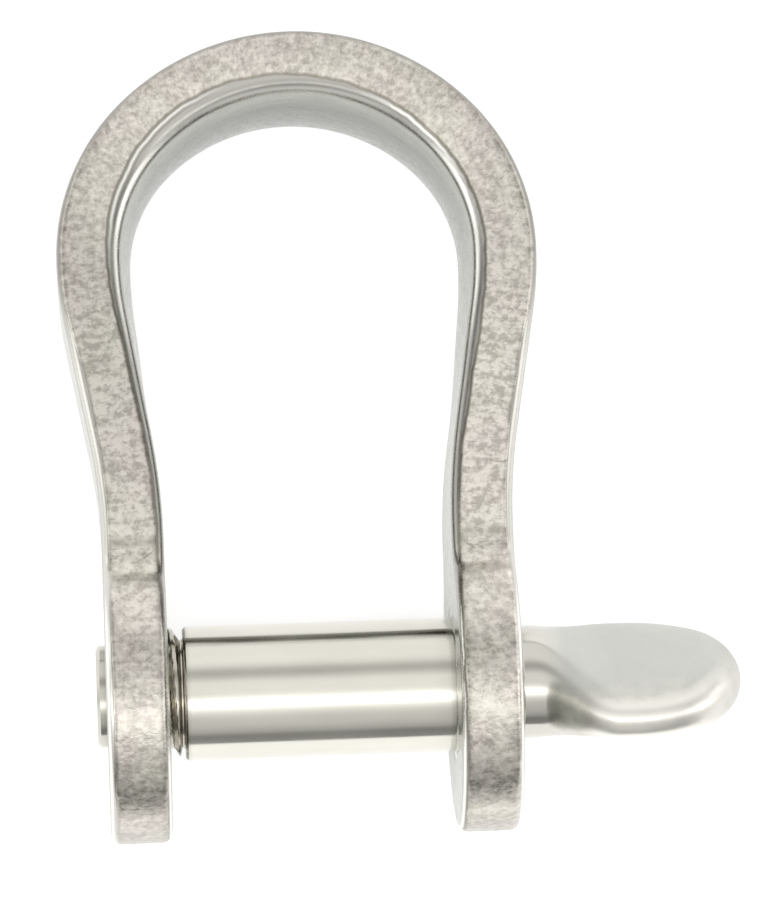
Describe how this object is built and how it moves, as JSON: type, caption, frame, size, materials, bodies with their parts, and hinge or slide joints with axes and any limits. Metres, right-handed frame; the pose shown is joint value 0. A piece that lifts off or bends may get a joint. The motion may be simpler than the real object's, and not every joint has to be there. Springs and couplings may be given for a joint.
{
  "type": "bow shackle",
  "caption": "Pressed steel strip bent into an omega with round ears, closed by a screw pin with a flat thumb paddle, to link rigging.",
  "frame": {"origin": "on the pin axis, midway between the inner faces of the two ears", "axes": "+X along the pin towards its thumb paddle, +Y from the pin to the crown of the bow, +Z across the strip, so that the shackle lies flat"},
  "size_m": [0.0249, 0.0299, 0.011],
  "materials": {
    "bow_steel": "pressed stainless strip: matt sheared edges, tumbled smooth faces",
    "pin_steel": "turned and polished stainless, satin on the coined paddle"
  },
  "bodies": {
    "bow": {"bow": "bow_steel"},
    "pin": {"screw_pin": "pin_steel"}
  },
  "joints": [
    {"name": "pin_withdraw", "type": "slide", "parent": "bow", "child": "pin", "axis": [1, 0, 0], "range_m": [0, 0.018]}
  ]
}
